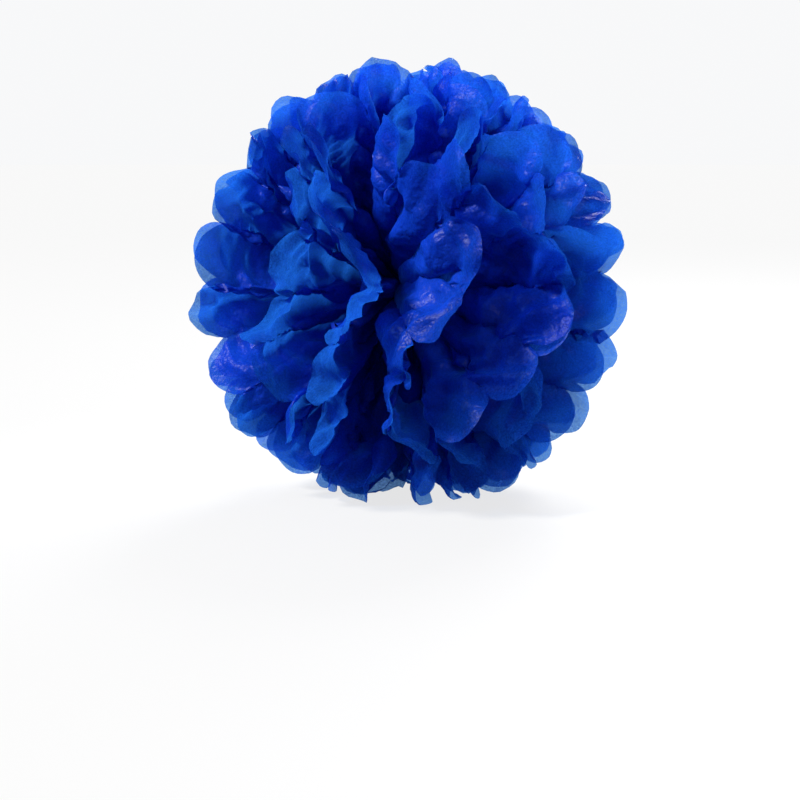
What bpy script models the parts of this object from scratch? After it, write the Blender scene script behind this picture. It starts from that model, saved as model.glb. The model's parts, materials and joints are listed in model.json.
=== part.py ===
"""Tissue paper pom pom: ten pleated tissue sheets with scalloped ends, gathered at the middle in one wire tie
and fluffed out into a ball.

Metres, +Z up. The origin is on the surface that the ball stands on, under its tie. The front is -Y.

Each sheet is one rectangle of tissue. Its pleats run along X through the tie, so each end of each pleat is a
rounded petal. The half sheets on both sides of the tie fan out and stand round the upright axis like the pages
of an open book, the first sheet at the front and the last one at the back.
"""

import math

import bmesh
import bpy
from mathutils import Vector

# The sheets
SHEETS = 10
SHEET_WIDTH = 0.508  # across the pleats
PLEATS = 12
PANEL_WIDTH = SHEET_WIDTH / PLEATS
PAPER = 0.0003  # a stand-in for the 0.03 mm of tissue
PAPER_COLOUR = (0.004, 0.033, 0.30, 1.0)

# The ball: how far the petal tips reach from the tie, sideways and up or down
SIDE_REACH = 0.1495
POLE_REACH = 0.1560
TIE_HEIGHT = 0.1425
TOP_LATITUDE = math.radians(83)
BOTTOM_LATITUDE = math.radians(-77)
# The longitude of each half sheet, in degrees from the front towards +X, from the first sheet to the last
LEFT_TURNS = (2, -24, -47, -68, -87, -104, -120, -136, -152, -169)
RIGHT_TURNS = (26, 46, 65, 83, 100, 115, 130, 145, 160, 175)
FOLD_ROWS = (0.06, 0.35, 0.70, 1.0)  # where each fold line has points, as shares of its length
MOST_ZIGZAG = math.radians(11)  # nearer the tie the paper is crushed together instead

# The gathered middle of each sheet, inside the tie
NECK_PITCH = 0.00075  # from one sheet to the next
WAIST = 0.006  # half the height of the paper where the wire goes round it
ROOT = 0.008  # half its height where the half sheets start to fan out
INNER_ROOT, OUTER_ROOT = 0.0030, 0.0064  # how far from the tie the first and the middle sheets turn

# The foot: petal tips bend flat on the surface
FOOT_LIFT = 0.00008  # the middle of the paper over the surface, less than half its thickness

# The tie
WIRE = 0.0008
WIRE_GAP = 0.0004
TWIST_RADIUS = 0.0007
TWIST_TOP = 0.026  # over the tie's middle
TWIST_TURNS = 3.5
WIRE_COLOUR = (0.75, 0.76, 0.78, 1.0)

ARC_STEPS = 5  # in a scallop's rounded end, an odd number
BLOCK = 0.4  # the side of the block that levels the feet


def clear_scene():
    for obj in list(bpy.data.objects):
        bpy.data.objects.remove(obj)


def collection(name):
    made = bpy.data.collections.new(name)
    bpy.context.scene.collection.children.link(made)
    return made


def material(name, colour, roughness, metallic):
    made = bpy.data.materials.new(name)
    made.use_nodes = True
    shader = made.node_tree.nodes["Principled BSDF"]
    shader.inputs["Base Color"].default_value = colour
    shader.inputs["Roughness"].default_value = roughness
    shader.inputs["Metallic"].default_value = metallic
    made.diffuse_color = colour
    return made


def latitude(fold):
    """The angle over the horizon of a fold line. Fold 0 is at the top."""
    return TOP_LATITUDE + (BOTTOM_LATITUDE - TOP_LATITUDE) * fold / PLEATS


def turn(sheet, side):
    """The angle of a half sheet round the upright axis, from the front towards +X."""
    return math.radians((LEFT_TURNS if side < 0 else RIGHT_TURNS)[sheet])


def root_point(sheet, side, fold):
    """Where a fold line leaves the gathered neck."""
    depth = min(sheet, SHEETS - 1 - sheet) / (SHEETS / 2 - 1)
    across = INNER_ROOT + (OUTER_ROOT - INNER_ROOT) * depth
    return Vector(
        (side * across, (sheet - (SHEETS - 1) / 2) * NECK_PITCH, ROOT * (1 - 2 * fold / PLEATS))
    )


def fold_length(fold):
    """From the root to the notch between two scallops."""
    reach = SIDE_REACH + (POLE_REACH - SIDE_REACH) * math.sin(latitude(fold)) ** 2
    return reach - PANEL_WIDTH / 2


def zigzag(fold, length):
    """How far a fold line turns to one side, so that each panel keeps its width."""
    pitch = length * (TOP_LATITUDE - BOTTOM_LATITUDE) / PLEATS
    half_depth = math.sqrt(PANEL_WIDTH**2 - pitch**2) / 2
    return (-1) ** fold * min(math.atan(half_depth / length), MOST_ZIGZAG)


def fold_point(sheet, side, fold, share):
    """A point of a fold line, at a share of its length from the root."""
    length = share * fold_length(fold)
    up, around = latitude(fold), turn(sheet, side) + zigzag(fold, length)
    outward = Vector((math.cos(up) * math.sin(around), -math.cos(up) * math.cos(around), math.sin(up)))
    return root_point(sheet, side, fold) + length * outward


def scallop_points(start, end):
    """The rounded end of a panel, from one notch to the next, without the notches."""
    middle, half = (start + end) / 2, (end - start) / 2
    outward = middle - middle.project(half)
    outward.normalize()
    steps = [math.pi * i / ARC_STEPS for i in range(1, ARC_STEPS)]
    return [middle - math.cos(a) * half + math.sin(a) * PANEL_WIDTH / 2 * outward for a in steps]


def on_surface(point):
    """The point over the standing surface, with what would pass through it bent outwards along it."""
    placed = point + Vector((0, 0, TIE_HEIGHT))
    sunk = FOOT_LIFT - placed.z
    if sunk <= 0:
        return placed
    outward = Vector((placed.x, placed.y, 0)).normalized()
    return Vector((placed.x, placed.y, FOOT_LIFT)) + sunk * outward


def add_halves(bm, corners, fold):
    """Two triangles, cut alike in every sheet so that neighbours nest."""
    a, b, c, d = corners if fold % 2 else (corners[1], corners[2], corners[3], corners[0])
    bm.faces.new((a, b, c))
    bm.faces.new((a, c, d))


def add_panels(bm, neck_edge, sheet, side):
    """The pleats of a half sheet: strips from row to row of its fold lines, then the rounded ends."""
    rows = [neck_edge]
    for share in FOLD_ROWS:
        points = [fold_point(sheet, side, fold, share) for fold in range(PLEATS + 1)]
        rows.append([bm.verts.new(on_surface(p)) for p in points])
    for inner, outer in zip(rows, rows[1:]):
        for fold, corners in enumerate(zip(inner, inner[1:], outer[1:], outer)):
            add_halves(bm, corners, fold)
    notches = [fold_point(sheet, side, fold, 1) for fold in range(PLEATS + 1)]
    for fold, (start, end) in enumerate(zip(notches, notches[1:])):
        arc = [bm.verts.new(on_surface(p)) for p in scallop_points(start, end)]
        rim = [rows[-1][fold], *arc, rows[-1][fold + 1]]
        while len(rim) > 2:
            bm.faces.new((rim[0], rim[-1], rim[-2], rim[1]))
            rim = rim[1:-1]


def tissue_sheet(sheet, group, finish):
    """One whole sheet, from its left petals through the tie to its right petals."""
    bm = bmesh.new()
    neck_y = root_point(sheet, 1, 0).y
    waist = [bm.verts.new(on_surface(Vector((0, neck_y, z)))) for z in (WAIST, -WAIST)]
    for side in (-1, 1):
        roots = [root_point(sheet, side, fold) for fold in range(PLEATS + 1)]
        neck_edge = [bm.verts.new(on_surface(p)) for p in roots]
        bm.faces.new((*neck_edge, waist[1], waist[0]))
        add_panels(bm, neck_edge, sheet, side)
    bmesh.ops.recalc_face_normals(bm, faces=bm.faces)
    mesh = bpy.data.meshes.new(f"tissue_sheet_{sheet + 1:02d}")
    bm.to_mesh(mesh)
    bm.free()
    mesh.materials.append(finish)
    obj = bpy.data.objects.new(mesh.name, mesh)
    group.objects.link(obj)
    shell = obj.modifiers.new("paper", "SOLIDIFY")
    shell.thickness = PAPER
    shell.offset = 0
    shell.use_even_offset = True
    shell.use_quality_normals = True
    return obj


def levelling_block(group):
    """Cuts every foot flat at the standing surface."""
    bpy.ops.mesh.primitive_cube_add(size=BLOCK, location=(0, 0, -BLOCK / 2))
    block = bpy.context.object
    block.name = "levelling_block"
    for owner in list(block.users_collection):
        owner.objects.unlink(block)
    group.objects.link(block)
    block.hide_render = True
    block.display_type = "WIRE"
    return block


def twist_points(start, going_up):
    """One end of the wire in the twist, as a helix round the upright axis. start is its angle at the bottom."""
    steps = 7 * math.ceil(TWIST_TURNS)
    low = WAIST + 2 * WIRE
    points = []
    for i in range(steps + 1):
        share = i / steps
        angle = start + 2 * math.pi * TWIST_TURNS * share
        height = low + (TWIST_TOP - low) * share
        points.append((TWIST_RADIUS * math.cos(angle), TWIST_RADIUS * math.sin(angle), height))
    return points if going_up else points[::-1]


def loop_points():
    """The wire's path round the necks in the plane of the tie: down the front, under and up the back."""
    half_y = (SHEETS - 1) / 2 * NECK_PITCH + PAPER / 2 + WIRE_GAP + WIRE / 2
    half_z = WAIST + WIRE_GAP + WIRE / 2
    bend = 1.5 * WIRE
    corners = ((-1, 1), (-1, -1), (1, -1), (1, 1))
    points = []
    for quarter, (y_side, z_side) in enumerate(corners):
        centre_y, centre_z = y_side * (half_y - bend), z_side * (half_z - bend)
        for step in range(4):
            angle = math.pi / 2 * (1 + quarter + step / 3)
            points.append((0, centre_y + bend * math.cos(angle), centre_z + bend * math.sin(angle)))
    return points


def tie_wire(group, finish):
    """One length of wire: down the twist, round the necks and up the twist again."""
    path = twist_points(-math.pi / 2, False) + loop_points() + twist_points(math.pi / 2, True)
    curve = bpy.data.curves.new("tie_wire", "CURVE")
    curve.dimensions = "3D"
    curve.bevel_depth = WIRE / 2
    curve.bevel_resolution = 2
    curve.use_fill_caps = True
    spline = curve.splines.new("POLY")
    spline.points.add(len(path) - 1)
    for point, place in zip(spline.points, path):
        point.co = (*place, 1)
    curve.materials.append(finish)
    obj = bpy.data.objects.new("tie_wire", curve)
    obj.location.z = TIE_HEIGHT
    group.objects.link(obj)
    return obj


def main():
    clear_scene()
    pom_pom = collection("tissue_paper_pom_pom")
    cutters = collection("cutters")
    paper = material("blue_tissue", PAPER_COLOUR, 0.55, 0.0)
    wire = material("tie_wire", WIRE_COLOUR, 0.35, 1.0)
    block = levelling_block(cutters)
    for sheet in range(SHEETS):
        obj = tissue_sheet(sheet, pom_pom, paper)
        level = obj.modifiers.new("level_feet", "BOOLEAN")
        level.operation = "DIFFERENCE"
        level.object = block
    tie_wire(pom_pom, wire)


main()
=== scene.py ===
"""Dresses a tissue paper pom pom for display.

Ten pleated sheets of blue tissue are laid round the tie like the pages of an open book. They are let settle
against each other, and creased. A bright wire tie holds them in the middle.
"""

import json
import math

import bpy
import numpy as np
from mathutils import Euler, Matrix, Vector

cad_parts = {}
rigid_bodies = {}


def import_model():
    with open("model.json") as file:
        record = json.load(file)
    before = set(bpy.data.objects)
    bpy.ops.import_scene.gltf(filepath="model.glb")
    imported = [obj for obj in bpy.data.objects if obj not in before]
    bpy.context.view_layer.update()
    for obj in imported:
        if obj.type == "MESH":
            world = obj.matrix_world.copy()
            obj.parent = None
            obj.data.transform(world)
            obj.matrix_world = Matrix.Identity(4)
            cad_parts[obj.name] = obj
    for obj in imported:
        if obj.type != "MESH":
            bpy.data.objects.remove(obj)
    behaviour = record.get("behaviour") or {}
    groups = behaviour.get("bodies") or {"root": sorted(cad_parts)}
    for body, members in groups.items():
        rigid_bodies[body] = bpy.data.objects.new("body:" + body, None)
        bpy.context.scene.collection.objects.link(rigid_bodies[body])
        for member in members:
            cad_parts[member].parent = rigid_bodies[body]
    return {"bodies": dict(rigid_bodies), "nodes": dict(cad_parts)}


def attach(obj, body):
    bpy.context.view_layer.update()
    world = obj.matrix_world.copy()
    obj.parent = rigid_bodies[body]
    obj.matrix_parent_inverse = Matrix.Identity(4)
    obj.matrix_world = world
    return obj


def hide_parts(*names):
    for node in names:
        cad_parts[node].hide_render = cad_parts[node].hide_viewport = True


bl_info = {
    "name": "Tissue Paper Pom Pom",
    "version": (1, 0, 0),
    "blender": (4, 5, 0),
    "location": "3D View > Sidebar > Pom Pom",
    "description": "Builds a pleated tissue paper pom pom with its wire tie, its floor and its lights",
    "category": "Object",
}

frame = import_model()
BODY = next(iter(frame["bodies"]))
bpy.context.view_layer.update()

# The sheets, in metres and radians
SHEETS = 10
SHEET_WIDTH = 0.508
SHEET_LENGTH = 0.312  # longer than the ball is wide, because the petals curl
PLEATS = 12
PANEL_WIDTH = SHEET_WIDTH / PLEATS
SCALLOP = PANEL_WIDTH / 2
TIE_HEIGHT = 0.1425
REACH = 0.1530
NOTCH_REACH = SHEET_LENGTH / 2 - SCALLOP
TOP_LATITUDE = math.radians(83)
BOTTOM_LATITUDE = math.radians(-77)
NECK_PITCH = 0.00075
WAIST = 0.008
ROOT = 0.008
INNER_ROOT, OUTER_ROOT = 0.0030, 0.0064

# The net that each half sheet settles on
PLEAT_CELLS = 8
ROWS = 20
GATHERED = 0.050  # within this distance of the tie the paper is crushed together
TIE_GATHER = 0.12  # and at the tie it keeps this share of its width
ROUNDS = 260
CLEARANCE = 0.0048
FLOOR_GAP = 0.0003
CURL_FROM = 0.084  # from here the petals curl, and over the next length they reach their full curl
CURL_OVER = 0.055
BULGE = 0.2  # how much of a pleat's spare width bulges out before it settles
EQUATOR_SPREAD = 0.26  # how much wider the pleats are opened at the ball's middle height than on average

# The dents of the whole sheet: how wide each is, and how deep against the others
DENTS = ((0.105, 0.0045), (0.074, 0.0034), (0.050, 0.0020), (0.036, 0.0012), (0.026, 0.0008))
DENT_DEPTH = 0.48
# The creases between them: how far apart, their lean from the sheet's length, and how steep each is
CREASES = (
    (0.034, 0.3, 0.55), (0.027, -0.45, 0.5), (0.021, 1.2, 0.35), (0.017, 0.15, 0.45),
    (0.014, -0.8, 0.35), (0.011, 0.55, 0.35), (0.009, -0.2, 0.30), (0.0075, 1.0, 0.22),
)
CREASE_DEPTH = 0.58
EDGE_CALM = 0.45  # how much shallower the dents and creases are at the very rim
TIP_LIFT, TIP_SKEW = 0.003, 0.0010

# For each half sheet from front to back, in degrees: the longitude at which it stands, and how far its petals
# curl over sideways at their ends
LEFT_STANDS = (-3, -23, -46, -67, -87, -104, -120, -136, -152, -169)
LEFT_CURLS = (46, -5, -8, -8, -6, -6, -8, -10, -8, 0)
RIGHT_STANDS = (30, 50, 68, 84, 100, 115, 130, 145, 160, 175)
RIGHT_CURLS = (8, 6, 6, 6, 6, 5, 8, 10, 8, 0)

# The folds of the two front half sheets as they were pulled open by hand. For each fold: its latitude, how
# far it is pushed to the side, its share of the curl, and which way it curls, from 0 level to 90 straight up
PULLED = {
    (0, -1): (
        (80, 8, 0.2, 0), (70, -8, 0.3, 0), (60, 7, 0.4, 0), (51, -9, 0.6, -30), (39, -3, 0.9, -25),
        (24, 2, 1.1, 0), (5, 1, 1.1, 0), (-13, -4, 0.9, -20), (-30, 8, 1.1, -75), (-44, -2, 1.1, -80),
        (-56, 8, 0.7, -60), (-67, -8, 0.4, -30), (-77, 6, 0.2, 0),
    ),
    (0, 1): (
        (79, 8, 0.2, 0), (68, -8, 0.3, 0), (57, 2, 0.5, 20), (46, -15, 0.4, 40), (34, -14, 0.6, 15),
        (20, -5, 0.8, 5), (3, 5, 0.8, 0), (-12, 8, 1.0, -10), (-25, 4, 1.0, -30), (-39, -10, 0.4, -30),
        (-52, 7, 0.8, -20), (-64, -8, 0.5, 0), (-76, 8, 0.2, 0),
    ),
}


# The stage's lights: their places, sizes in metres and watts
LIGHTS = (
    ("key", (-1.9, -1.1, 2.1), 0.45, 190),
    ("fill", (1.7, -1.5, 1.0), 1.2, 15),
    ("back", (0.7, 2.0, 1.6), 1.4, 120),
)


def smooth(x):
    x = np.clip(x, 0, 1)
    return x * x * (3 - 2 * x)


def wander(rng, count, scale):
    """A random row of values that changes little from one to the next."""
    values = rng.normal(0, 1, count + 4)
    return scale * np.convolve(values, (0.25, 0.5, 0.7, 0.5, 0.25), "valid")[:count]


def meander(up, around):
    """How far neighbouring sheets have been pushed sideways together, by latitude and longitude."""
    wide = 8.5 * np.sin(5 * up + 0.6 + 1.3 * around)
    return np.radians(wide + 4.5 * np.sin(3 * up - 2 * around + 1.0)) * np.cos(up) ** 0.5


def unit(vectors):
    return vectors / (np.linalg.norm(vectors, axis=-1, keepdims=True) + 1e-12)


class Page:
    """One half sheet's fold lines."""

    def __init__(self, sheet, side, rng):
        self.sheet, self.side = sheet, side
        folds = PLEATS + 1
        stands, curls = (LEFT_STANDS, LEFT_CURLS) if side < 0 else (RIGHT_STANDS, RIGHT_CURLS)
        stands, curl = math.radians(stands[sheet]), math.radians(curls[sheet])
        pulled = PULLED.get((sheet, side))
        if pulled:
            up, swing, share, way = np.array(pulled, float).T
            self.up, self.swing, self.way = np.radians(up), np.radians(swing), np.radians(way)
            self.curl = curl * share
        else:
            even = np.linspace(-1, 1, folds)
            even += EQUATOR_SPREAD * np.sin(math.pi * even) / math.pi
            self.up = TOP_LATITUDE + (BOTTOM_LATITUDE - TOP_LATITUDE) * (even + 1) / 2
            self.up[1:-1] += np.radians(rng.uniform(-2.5, 2.5, folds - 2))
            pitch = np.abs(np.gradient(self.up)) * NOTCH_REACH
            depth = np.sqrt(np.maximum(PANEL_WIDTH**2 - pitch**2, 0)) / 2
            swing = np.minimum(depth / NOTCH_REACH / np.cos(self.up), math.radians(20))
            self.swing = (-1.0) ** np.arange(folds) * swing * rng.uniform(0.85, 1.2, folds)
            self.swing += np.radians(np.clip(wander(rng, folds, 5.5), -9, 9))
            self.curl = curl + np.radians(wander(rng, folds, 17))
            self.way = np.copysign(0.5 * self.up, self.up) + np.radians(wander(rng, folds, 22))
        self.stands = stands + self.swing + meander(self.up, stands)
        self.curl_from = CURL_FROM + wander(rng, folds, 0.010)
        self.bow = np.radians(wander(rng, folds, 11))
        self.bow_from = rng.uniform(0, 2 * math.pi)

    def root(self):
        depth = min(self.sheet, SHEETS - 1 - self.sheet) / (SHEETS / 2 - 1)
        across = INNER_ROOT + (OUTER_ROOT - INNER_ROOT) * depth
        neck_y = (self.sheet - (SHEETS - 1) / 2) * NECK_PITCH
        share = 1 - 2 * np.arange(PLEATS + 1) / PLEATS
        heights = ROOT * share
        return np.stack([self.side * across * (1.05 - share**2), np.full(PLEATS + 1, neck_y), heights], -1)

    def trace(self, step, count):
        """(folds, steps, 3): each fold line from its root, straight at first and curling over at its end."""
        place = self.root()
        up, around = self.up[:, None], self.stands[:, None]
        away = np.concatenate([np.cos(up) * np.sin(around), -np.cos(up) * np.cos(around), np.sin(up)], -1)
        sideways = np.concatenate([np.cos(around), np.sin(around), 0 * around], -1)
        upwards = np.cross(away, sideways) * -1
        over = np.cos(self.way)[:, None] * sideways + np.sin(self.way)[:, None] * upwards
        traced = [place]
        for i in range(count):
            turn = self.curl * smooth((i * step - self.curl_from) / CURL_OVER)
            turn = turn + self.bow * math.sin(i * step / 0.021 + self.bow_from) * smooth(i * step / 0.06)
            place = place + step * (np.cos(turn)[:, None] * away + np.sin(turn)[:, None] * over)
            traced.append(place)
        return np.stack(traced, 1)


def column_shares():
    """Where the net's columns stand across one pleat, closest together next to the folds."""
    return (1 - np.cos(np.linspace(0, math.pi, PLEAT_CELLS + 1))) / 2


def column_lengths():
    """From the root to the rim, for every column of a half sheet."""
    one = SCALLOP * np.sin(np.linspace(0, math.pi, PLEAT_CELLS + 1))
    every = np.concatenate([np.tile(one[:-1], PLEATS), one[-1:]])
    return NOTCH_REACH - OUTER_ROOT + every


def start_net(page):
    """The half sheet before it settles: its pleats bulge by part of the width they have to spare."""
    shares, rows = column_shares(), np.linspace(0, 1, ROWS)
    lengths = column_lengths()
    step = 0.001
    count = int(SHEET_LENGTH / 2 / step) + 2
    traced, known = page.trace(step, count), np.arange(count + 1) * step
    net = np.empty((PLEATS * PLEAT_CELLS + 1, ROWS, 3))
    for pleat in range(PLEATS):
        for cell in range(PLEAT_CELLS + 1):
            column = pleat * PLEAT_CELLS + cell
            along = rows * lengths[column]
            first, second = (
                np.stack([np.interp(along, known, traced[fold][:, axis]) for axis in range(3)], -1)
                for fold in (pleat, pleat + 1)
            )
            chord = np.linalg.norm(second - first, axis=-1)
            width = PANEL_WIDTH * gather(along)
            rise = np.sqrt(np.maximum(0.375 * (width**2 - chord**2), 0)) * BULGE
            across = unit(np.cross(second - first, first + second))
            arch = math.sin(math.pi * shares[cell])
            net[column] = first + (second - first) * shares[cell] + across * (rise * arch)[:, None]
    return net


def gather(length):
    return TIE_GATHER + (1 - TIE_GATHER) * smooth(length / GATHERED)


class Settling:
    """Paper that keeps its size, resists bending, keeps clear of other sheets and stands on the floor."""

    def __init__(self, nets):
        self.p = np.array(nets)
        self.aim = self.p.copy()
        self.links = []
        columns, rows = self.p.shape[1:3]
        lengths = column_lengths()
        shares = np.concatenate([k + column_shares()[:-1] for k in range(PLEATS)] + [[PLEATS]])
        along = lengths[:, None] * np.linspace(0, 1, rows)
        flat = np.stack([(shares * PANEL_WIDTH)[:, None] + 0 * along, along], -1)
        self.along = along
        for step, stiff in (((1, 0), 1.0), ((0, 1), 1.0), ((1, 1), 0.5), ((1, -1), 0.5), ((0, 2), 0.35)):
            self.add_links(flat, step, stiff)
        inside = [c for c in range(columns - 2) if c % PLEAT_CELLS <= PLEAT_CELLS - 2]
        self.add_bends(flat, inside)
        self.weight = np.ones((columns, rows))
        self.weight[:, 0] = 0

    def add_links(self, flat, step, stiff):
        di, dj = step
        columns, rows = flat.shape[:2]
        for parity in range(2 if max(abs(di), abs(dj)) == 1 else 4):
            if di:
                first = (slice(parity, columns - 1, 2), slice(max(0, -dj), rows - max(0, dj)))
                second = (slice(parity + 1, columns, 2), slice(max(0, dj), rows - max(0, -dj)))
            elif dj == 1:
                first = (slice(None), slice(parity, rows - 1, 2))
                second = (slice(None), slice(parity + 1, rows, 2))
            else:
                first = (slice(None), slice(parity, rows - 2, 4))
                second = (slice(None), slice(parity + 2, rows, 4))
            self.link(flat, first, second, stiff)

    def add_bends(self, flat, inside):
        inside = np.array(inside)
        for parity in range(4):
            chosen = inside[inside % 4 == parity]
            self.link(flat, (chosen, slice(None)), (chosen + 2, slice(None)), 0.12)

    def link(self, flat, first, second, stiff):
        a, b = flat[first], flat[second]
        gap = b - a
        middle = (a + b)[..., 1] / 2
        gap = gap * np.stack([gather(middle), np.ones_like(middle)], -1)
        self.links.append((first, second, np.linalg.norm(gap, axis=-1), stiff))

    def keep_lengths(self):
        for first, second, rest, stiff in self.links:
            a, b = (slice(None), *first), (slice(None), *second)
            gap = self.p[b] - self.p[a]
            size = np.sqrt((gap * gap).sum(-1)) + 1e-9
            wa, wb = self.weight[first], self.weight[second]
            move = gap * (stiff * (size - rest) / (size * (wa + wb + 1e-9)))[..., None]
            self.p[a] += move * wa[..., None]
            self.p[b] -= move * wb[..., None]

    def find_neighbours(self):
        """Pairs of points of different half sheets that are nearly touching."""
        pages, columns, rows = self.p.shape[:3]
        keep = self.along > 0.045
        ids = np.flatnonzero(np.broadcast_to(keep, (pages, columns, rows)))
        points = self.p.reshape(-1, 3)[ids]
        owner = ids // (columns * rows)
        cell = CLEARANCE * 1.25
        grid = np.floor((points + 1.0) / cell).astype(np.int64)
        key = (grid[:, 0] * 4096 + grid[:, 1]) * 4096 + grid[:, 2]
        order = np.argsort(key, kind="stable")
        key_sorted = key[order]
        found_a, found_b = [], []
        for dx in (0, 1):
            for dy in (-1, 0, 1) if dx else (0, 1):
                for dz in (-1, 0, 1) if dx or dy else (0, 1):
                    shifted = key + (dx * 4096 + dy) * 4096 + dz
                    low = np.searchsorted(key_sorted, shifted, "left")
                    count = np.searchsorted(key_sorted, shifted, "right") - low
                    a = np.repeat(np.arange(len(key)), count)
                    start = np.repeat(low - np.concatenate([[0], np.cumsum(count)[:-1]]), count)
                    b = order[start + np.arange(len(a))]
                    good = owner[a] != owner[b]
                    if not (dx or dy or dz):
                        good &= a < b
                    found_a.append(a[good])
                    found_b.append(b[good])
        a, b = np.concatenate(found_a), np.concatenate(found_b)
        near = ((points[a] - points[b]) ** 2).sum(-1) < cell * cell
        self.pairs = ids[a[near]], ids[b[near]]

    def keep_apart(self):
        a, b = self.pairs
        flat = self.p.reshape(-1, 3)
        gap = flat[b] - flat[a]
        size = np.sqrt((gap * gap).sum(-1)) + 1e-9
        push = np.maximum(CLEARANCE - size, 0) * 0.5
        move = gap * (push / size)[:, None]
        count = np.bincount(a, minlength=len(flat)) + np.bincount(b, minlength=len(flat))
        for axis in range(3):
            total = np.bincount(b, move[:, axis], len(flat)) - np.bincount(a, move[:, axis], len(flat))
            flat[:, axis] += total / np.maximum(count, 1) * 1.5

    def keep_in_place(self, share):
        """The floor, the ball's reach, and the hands that pulled the folds to where they are."""
        folds = slice(0, None, PLEAT_CELLS)
        self.p[:, folds, -6:] += (self.aim[:, folds, -6:] - self.p[:, folds, -6:]) * share
        self.p[:, folds, 1:-6] += (self.aim[:, folds, 1:-6] - self.p[:, folds, 1:-6]) * share * 0.5
        size = np.linalg.norm(self.p, axis=-1, keepdims=True)
        self.p *= 1 - np.maximum(size - REACH, 0) / size * 0.3
        np.maximum(self.p[..., 2], 0.0006 - TIE_HEIGHT, out=self.p[..., 2])

    def settle(self, rounds):
        for turn in range(rounds):
            if turn % 6 == 0:
                self.find_neighbours()
            self.keep_in_place(0.04 * (1 - turn / rounds) ** 2 + 0.002)
            self.keep_lengths()
            self.keep_apart()
        return self.p


def halve(points, axis, block=None):
    """Twice as many cells along one axis, on smooth curves that break only at each block's ends."""
    points = np.moveaxis(points, axis, 0)
    block = block or len(points) - 1
    out = [points[:1]]
    for low in range(0, len(points) - 1, block):
        part = points[low : low + block + 1]
        mids = np.empty((block, *part.shape[1:]))
        mids[1:-1] = (9 * (part[1:-2] + part[2:-1]) - part[:-3] - part[3:]) / 16
        mids[0] = (3 * part[0] + 6 * part[1] - part[2]) / 8
        mids[-1] = (3 * part[-1] + 6 * part[-2] - part[-3]) / 8
        both = np.stack([mids, part[1:]], 1).reshape(-1, *part.shape[1:])
        out.append(both)
    return np.moveaxis(np.concatenate(out), 0, axis)


def triangle_wave(x):
    return np.abs(2 * (x - np.floor(x + 0.5)))


def facet_wave(turn):
    """A wave with flat sides and slightly worn ridges."""
    return np.arcsin(0.97 * np.sin(turn)) / 1.33


def crumple(across, along, beyond, rng):
    """Heights of the dents, creases and curled ends of a handled sheet, over its flat width and length."""
    bend_u = 0.006 * np.sin(along * 61 + rng.uniform(0, 6)) + 0.004 * np.sin(across * 83 + rng.uniform(0, 6))
    bend_v = 0.006 * np.sin(across * 57 + rng.uniform(0, 6)) + 0.004 * np.sin(along * 97 + rng.uniform(0, 6))
    u, v = across + bend_u, along + bend_v
    height = np.zeros_like(across)
    for size, depth in DENTS:
        for lean in (rng.uniform(-0.5, 0.5), rng.uniform(0.9, 2.2)):
            turn = (u * math.cos(lean) + v * math.sin(lean)) * 2 * math.pi / size
            height += depth * DENT_DEPTH * facet_wave(turn + rng.uniform(0, 6))
    for size, lean, steepness in CREASES:
        angle = lean + rng.normal(0, 0.3)
        place = (u * math.cos(angle) + v * math.sin(angle)) / size + rng.uniform(0, 1)
        patch = across * rng.uniform(30, 90) + along * rng.uniform(30, 70) + rng.uniform(0, 6)
        mask = 0.5 + 0.5 * np.sin(patch)
        height += steepness * mask**1.5 * size * CREASE_DEPTH * (triangle_wave(place) - 0.5)
    pleat = np.minimum(across / PANEL_WIDTH, PLEATS - 1e-6)
    which, share = pleat.astype(int), pleat % 1
    lift = rng.normal(0, TIP_LIFT, PLEATS)[which] * np.sin(math.pi * share)
    skew = rng.normal(0, TIP_SKEW, PLEATS)[which] * np.sin(2 * math.pi * share)
    return height * (1 - EDGE_CALM * beyond) + (lift + skew) * beyond**2


def normals_of(points):
    du = np.gradient(points, axis=0)
    dv = np.gradient(points, axis=1)
    normal = np.cross(du, dv)
    return normal / (np.linalg.norm(normal, axis=-1, keepdims=True) + 1e-12)


def fine_half(net, rng):
    net = halve(net, 0, PLEAT_CELLS)
    net = halve(halve(net, 1), 1)
    columns, rows = net.shape[:2]
    cells = (columns - 1) // PLEATS
    shares = (1 - np.cos(np.linspace(0, math.pi, cells + 1))) / 2
    across = np.concatenate([k + shares[:-1] for k in range(PLEATS)] + [[PLEATS]]) * PANEL_WIDTH
    one = SCALLOP * np.sin(np.linspace(0, math.pi, cells + 1))
    lengths = NOTCH_REACH - OUTER_ROOT + np.concatenate([np.tile(one[:-1], PLEATS), one[-1:]])
    along = lengths[:, None] * np.linspace(0, 1, rows)
    across = across[:, None] + 0 * along
    fade = smooth((along - 0.02) / 0.08)
    beyond = np.clip((along - lengths.min() + 0.012) / (SCALLOP + 0.012), 0, 1)
    return net + normals_of(net) * (crumple(across, along, beyond, rng) * fade)[..., None]


def settled_pages():
    rng = np.random.default_rng(7)
    pages = [(sheet, side) for sheet in range(SHEETS) for side in (-1, 1)]
    nets = [start_net(Page(sheet, side, rng)) for sheet, side in pages]
    settling = Settling(nets)
    done = settling.settle(ROUNDS)
    return {page: net for page, net in zip(pages, done)}


class Socket:
    """A shader value that reads as a number in Python expressions."""

    def __init__(self, maker, socket):
        self.maker, self.socket = maker, socket

    def maths(self, operation, *values):
        return self.maker.node("ShaderNodeMath", {"operation": operation}, values)

    def __add__(self, other):
        return self.maths("ADD", self, other)

    def __radd__(self, other):
        return self.maths("ADD", other, self)

    def __sub__(self, other):
        return self.maths("SUBTRACT", self, other)

    def __rsub__(self, other):
        return self.maths("SUBTRACT", other, self)

    def __mul__(self, other):
        return self.maths("MULTIPLY", self, other)

    def __rmul__(self, other):
        return self.maths("MULTIPLY", other, self)


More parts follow.
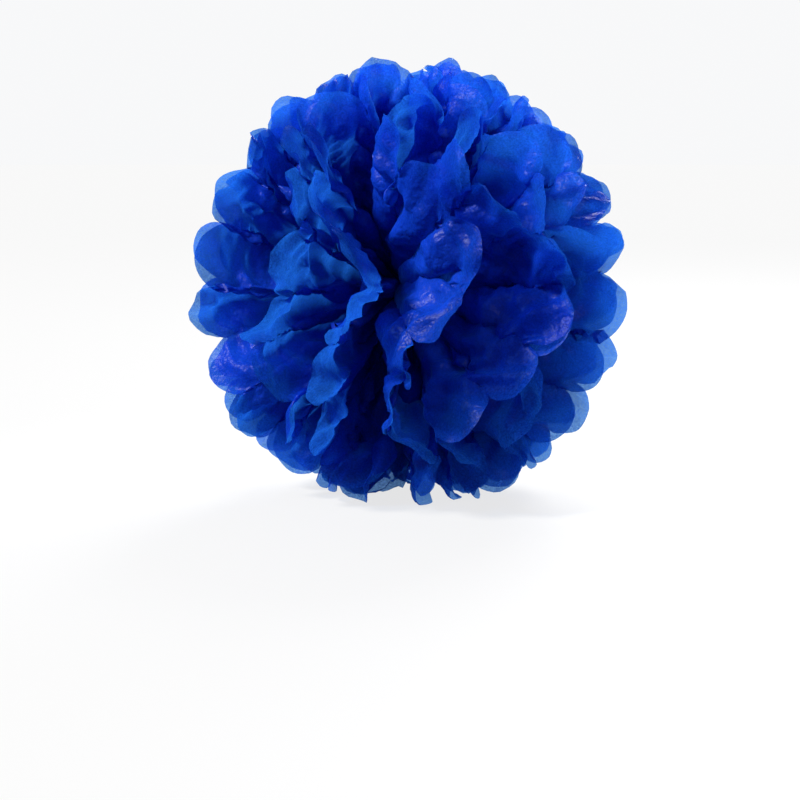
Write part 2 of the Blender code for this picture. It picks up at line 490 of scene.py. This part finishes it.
class Finish:
    """One material and the way to add nodes to it."""

    def __init__(self, name, colour):
        self.material = bpy.data.materials.new(name)
        self.material.use_nodes = True
        self.material.diffuse_color = (*colour, 1)
        self.tree = self.material.node_tree
        self.tree.nodes.clear()

    def node(self, kind, settings=None, values=(), out=0):
        node = self.tree.nodes.new(kind)
        for name, value in (settings or {}).items():
            setattr(node, name, value)
        pairs = values.items() if isinstance(values, dict) else enumerate(values)
        for key, value in pairs:
            if isinstance(value, Socket):
                self.tree.links.new(value.socket, node.inputs[key])
            else:
                node.inputs[key].default_value = value
        return Socket(self, node.outputs[out]) if node.outputs else None

    def place(self):
        """Where a point is, from the object's origin."""
        return self.node("ShaderNodeTexCoord", out="Object")

    def ramp(self, value, low, high):
        """0 at or below the low value, 1 at or above the high one."""
        return self.node("ShaderNodeMapRange", values={0: value, 1: low, 2: high, 3: 0.0, 4: 1.0})

    def noise(self, scale, detail, roughness):
        values = {"Vector": self.place(), "Scale": scale, "Detail": detail, "Roughness": roughness}
        return self.node("ShaderNodeTexNoise", values=values)

    def from_tie(self, near, far):
        """0 within one distance of the tie, growing to 1 at another."""
        tie = (0, 0, TIE_HEIGHT)
        away = self.node("ShaderNodeVectorMath", {"operation": "DISTANCE"}, (self.place(), tie), out="Value")
        return self.ramp(away, near, far)

    def facets(self, scale):
        """The flat-sided dents between the creases of handled paper."""
        place = self.place()
        values = {"Vector": place, "Scale": scale * 0.8, "Detail": 1.0}
        bend = self.node("ShaderNodeTexNoise", values=values, out=1)
        scatter = (0.35 / scale,) * 3
        bent = self.node("ShaderNodeVectorMath", {"operation": "MULTIPLY_ADD"}, (bend, scatter, place))
        cells = {"Vector": bent, "Scale": scale}
        return self.node("ShaderNodeTexVoronoi", {"feature": "DISTANCE_TO_EDGE"}, cells)

    def end(self, shader):
        self.node("ShaderNodeOutputMaterial", values={"Surface": shader})
        return self.material


def mix_colour(finish, share, first, second):
    settings = {"data_type": "RGBA"}
    return finish.node("ShaderNodeMix", settings, {0: share, 6: first, 7: second}, out=2)


def tissue_finish(deep, bright):
    """Thin dyed tissue: cloudy fibres, small creases, and light that comes through the ends of the petals."""
    finish = Finish("blue_tissue", deep)
    clouds = finish.noise(750, 3.0, 0.65)
    patches = finish.noise(38, 3.0, 0.5)
    fibres = finish.noise(1900, 2.0, 0.7)
    spread = finish.ramp(clouds, 0.35, 0.65)
    patchy = finish.ramp(patches, 0.3, 0.7)
    dark, light = (tuple(c * share for c in deep) + (1,) for share in (0.55, 1.2))
    face = mix_colour(finish, spread * 0.55 + patchy * 0.45, dark, light)
    facets = finish.facets(60) * 0.7 + finish.facets(130) * 0.5 + finish.facets(290) * 0.24
    height = facets + clouds * 0.06 + fibres * 0.03
    bump = finish.node("ShaderNodeBump", values={"Strength": 1.0, "Distance": 0.0021, "Height": height})
    paper = finish.node(
        "ShaderNodeBsdfPrincipled",
        values={
            "Base Color": face,
            "Roughness": 0.38,
            "Specular IOR Level": 0.17,
            "Normal": bump,
        },
    )
    through = finish.node("ShaderNodeBsdfTranslucent", values={"Color": (*bright, 1)})
    rim = finish.from_tie(0.095, 0.150)
    scattered = 0.24 + spread * 0.10 + rim * 0.16
    leaf = finish.node("ShaderNodeMixShader", values={0: scattered, 1: paper, 2: through})
    clear = finish.node("ShaderNodeBsdfTransparent", values={"Color": (0.22, 0.50, 1.0, 1)})
    straight = rim * (0.22 + (1 - spread) * 0.34)
    return finish.end(finish.node("ShaderNodeMixShader", values={0: straight, 1: leaf, 2: clear}))


def wire_finish(colour):
    finish = Finish("tie_wire", colour)
    streaks = finish.noise(2600, 3.0, 0.6)
    roughness = 0.22 + streaks * 0.25
    dull = tuple(c * 0.7 for c in colour)
    shade = mix_colour(finish, streaks, (*dull, 1), (*colour, 1))
    bump = finish.node("ShaderNodeBump", values={"Strength": 0.2, "Distance": 0.00005, "Height": streaks})
    values = {"Base Color": shade, "Metallic": 1.0, "Roughness": roughness, "Normal": bump}
    return finish.end(finish.node("ShaderNodeBsdfPrincipled", values=values))


def floor_finish(colour):
    """A pale studio floor that is lit evenly to its far edge."""
    finish = Finish("pale_floor", colour)
    mottle = finish.noise(9, 2.0, 0.5)
    away = finish.node("ShaderNodeVectorMath", {"operation": "LENGTH"}, {0: finish.place()}, out="Value")
    near = 1 - finish.ramp(away + mottle * 0.05, 0.15, 0.50)
    shade = mix_colour(finish, near, tuple(c * 0.05 for c in colour) + (1,), (*colour, 1))
    glow = mix_colour(finish, near, (1, 1, 1, 1), (0.82, 0.822, 0.826, 1))
    return finish.end(
        finish.node(
            "ShaderNodeBsdfPrincipled",
            values={
                "Base Color": shade,
                "Roughness": 0.7,
                "Specular IOR Level": 0.1,
                "Emission Color": glow,
                "Emission Strength": 0.935,
            },
        )
    )


def wall_finish(strength):
    finish = Finish("studio_wall", (1, 1, 1))
    glow = {"Color": (0.985, 0.99, 1.0, 1), "Strength": strength}
    return finish.end(finish.node("ShaderNodeEmission", values=glow))


def wall_mesh(radius, height):
    """A round wall about the stage."""
    steps = 96
    turns = [2 * math.pi * i / steps for i in range(steps)]
    ring = [(radius * math.cos(t), radius * math.sin(t)) for t in turns]
    points = [(x, y, z) for z in (0, height) for x, y in ring]
    faces = [(i, (i + 1) % steps, steps + (i + 1) % steps, steps + i) for i in range(steps)]
    mesh = bpy.data.meshes.new("studio_wall")
    mesh.from_pydata(points, [], faces)
    return mesh


def grid_mesh(name, points):
    """A mesh from a net of points."""
    columns, rows = points.shape[:2]
    ids = np.arange(columns * rows).reshape(columns, rows)
    quads = np.stack([ids[:-1, :-1], ids[:-1, 1:], ids[1:, 1:], ids[1:, :-1]], -1).reshape(-1, 4)
    mesh = bpy.data.meshes.new(name)
    mesh.from_pydata(points.reshape(-1, 3).tolist(), [], quads.tolist())
    mesh.polygons.foreach_set("use_smooth", np.ones(len(quads), bool))
    mesh.update()
    return mesh


def add_object(name, data, material):
    data.materials.append(material)
    obj = bpy.data.objects.new(name, data)
    bpy.context.scene.collection.objects.link(obj)
    return obj


class PomPomSettings(bpy.types.PropertyGroup):
    """What a maker would choose for the paper."""

    deep: bpy.props.FloatVectorProperty(
        name="Paper Colour",
        description="The colour of the tissue's lit face",
        subtype="COLOR",
        default=(0.003, 0.038, 0.43),
        min=0,
        max=1,
    )
    bright: bpy.props.FloatVectorProperty(
        name="Light Through",
        description="The colour of the light that comes through one layer",
        subtype="COLOR",
        default=(0.016, 0.185, 0.86),
        min=0,
        max=1,
    )
    wire: bpy.props.FloatVectorProperty(
        name="Wire Colour",
        description="The colour of the tie",
        subtype="COLOR",
        default=(0.75, 0.76, 0.78),
        min=0,
        max=1,
    )


class StageSettings(bpy.types.PropertyGroup):
    """The floor and where the camera stands."""

    floor: bpy.props.FloatVectorProperty(
        name="Floor Colour",
        description="The colour of the floor",
        subtype="COLOR",
        default=(0.09, 0.09, 0.091),
        min=0,
        max=1,
    )
    floor_size: bpy.props.FloatProperty(
        name="Floor Size", description="The side of the square floor", default=60.0, unit="LENGTH"
    )
    wall_height: bpy.props.FloatProperty(
        name="Wall Height",
        description="The height of the glowing wall round the stage",
        default=6.0,
        unit="LENGTH",
    )
    wall_glow: bpy.props.FloatProperty(name="Wall Glow", description="How bright the wall is", default=0.95)
    lens: bpy.props.FloatProperty(
        name="Lens",
        description="The camera's focal length in millimetres",
        default=84.7,
    )
    distance: bpy.props.FloatProperty(
        name="Camera Distance",
        description="How far in front of the tie the camera stands",
        default=1.30,
        unit="LENGTH",
    )
    height: bpy.props.FloatProperty(
        name="Camera Height",
        description="How high the camera stands over the floor",
        default=0.2465,
        unit="LENGTH",
    )
    tilt: bpy.props.FloatProperty(
        name="Camera Tilt",
        description="How far the camera looks down",
        default=math.radians(8),
        subtype="ANGLE",
    )


class POMPOM_OT_sheets(bpy.types.Operator):
    """Lay, settle and crease the ten tissue sheets"""

    bl_idname = "pompom.sheets"
    bl_label = "Tissue Sheets"

    def execute(self, context):
        settings = context.scene.pom_pom
        finish = tissue_finish(tuple(settings.deep), tuple(settings.bright))
        pages = settled_pages()
        rng = np.random.default_rng(21)
        for sheet in range(SHEETS):
            left, right = (fine_half(pages[sheet, side], rng) for side in (-1, 1))
            neck_y = (sheet - (SHEETS - 1) / 2) * NECK_PITCH
            heights = WAIST * np.linspace(1, -1, left.shape[0])
            waist = np.stack([0 * heights, 0 * heights + neck_y, heights], -1)[:, None]
            whole = np.concatenate([left[:, ::-1], waist, right], 1) + np.array([0, 0, TIE_HEIGHT])
            whole[..., 2] = np.maximum(whole[..., 2], FLOOR_GAP)
            node = f"tissue_sheet_{sheet + 1:02d}"
            mesh = grid_mesh(f"petals_{sheet + 1:02d}", whole)
            petals = add_object(mesh.name, mesh, finish)
            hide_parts(node)
            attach(petals, BODY)
        return {"FINISHED"}


class POMPOM_OT_tie(bpy.types.Operator):
    """Finish the wire tie"""

    bl_idname = "pompom.tie"
    bl_label = "Wire Tie"

    def execute(self, context):
        wire = frame["nodes"]["tie_wire"]
        wire.data.materials.clear()
        wire.data.materials.append(wire_finish(tuple(context.scene.pom_pom.wire)))
        return {"FINISHED"}


class POMPOM_OT_stage(bpy.types.Operator):
    """Set the floor, the lights and the camera"""

    bl_idname = "pompom.stage"
    bl_label = "Stage"

    def execute(self, context):
        settings = context.scene.pom_pom_stage
        half = settings.floor_size / 2
        mesh = bpy.data.meshes.new("floor")
        corners = [(-half, -half, 0), (half, -half, 0), (half, half, 0), (-half, half, 0)]
        mesh.from_pydata(corners, [], [(0, 1, 2, 3)])
        floor = add_object("floor", mesh, floor_finish(tuple(settings.floor)))
        floor.visible_diffuse = floor.visible_glossy = False
        wall = wall_mesh(settings.floor_size / 4, settings.wall_height)
        wall = add_object("studio_wall", wall, wall_finish(settings.wall_glow))
        wall.visible_diffuse = wall.visible_glossy = False
        for name, place, size, power in LIGHTS:
            light = bpy.data.lights.new(name, "AREA")
            light.size, light.energy = size, power
            lamp = bpy.data.objects.new(name, light)
            lamp.location = place
            aim = Vector((0, 0, TIE_HEIGHT)) - Vector(place)
            lamp.rotation_euler = aim.to_track_quat("-Z", "Y").to_euler()
            context.scene.collection.objects.link(lamp)
        world = bpy.data.worlds.new("studio")
        world.use_nodes = True
        colour, strength = world.node_tree.nodes["Background"].inputs[:2]
        colour.default_value, strength.default_value = (0.94, 0.96, 1.0, 1), 0.10
        context.scene.world = world
        camera = bpy.data.objects.new("camera", bpy.data.cameras.new("camera"))
        camera.data.lens = settings.lens
        camera.location = (-0.007, -settings.distance, settings.height)
        camera.rotation_euler = Euler((math.pi / 2 - settings.tilt, 0, 0))
        context.scene.collection.objects.link(camera)
        context.scene.camera = camera
        context.scene.view_settings.view_transform = "Standard"
        return {"FINISHED"}


class POMPOM_PT_panel(bpy.types.Panel):
    """Everything the pom pom is made of"""

    bl_label = "Pom Pom"
    bl_idname = "POMPOM_PT_panel"
    bl_space_type = "VIEW_3D"
    bl_region_type = "UI"
    bl_category = "Pom Pom"

    def draw(self, context):
        for settings in (context.scene.pom_pom, context.scene.pom_pom_stage):
            for name in settings.__annotations__:
                self.layout.prop(settings, name)
        for operator in (POMPOM_OT_sheets, POMPOM_OT_tie, POMPOM_OT_stage):
            self.layout.operator(operator.bl_idname)


CLASSES = (PomPomSettings, StageSettings, POMPOM_OT_sheets, POMPOM_OT_tie, POMPOM_OT_stage, POMPOM_PT_panel)


def register():
    for cls in CLASSES:
        bpy.utils.register_class(cls)
    bpy.types.Scene.pom_pom = bpy.props.PointerProperty(type=PomPomSettings)
    bpy.types.Scene.pom_pom_stage = bpy.props.PointerProperty(type=StageSettings)


def unregister():
    del bpy.types.Scene.pom_pom_stage
    del bpy.types.Scene.pom_pom
    for cls in reversed(CLASSES):
        bpy.utils.unregister_class(cls)


def main():
    register()
    bpy.ops.pompom.stage()
    bpy.ops.pompom.sheets()
    bpy.ops.pompom.tie()


if __name__ == "__main__":
    main()
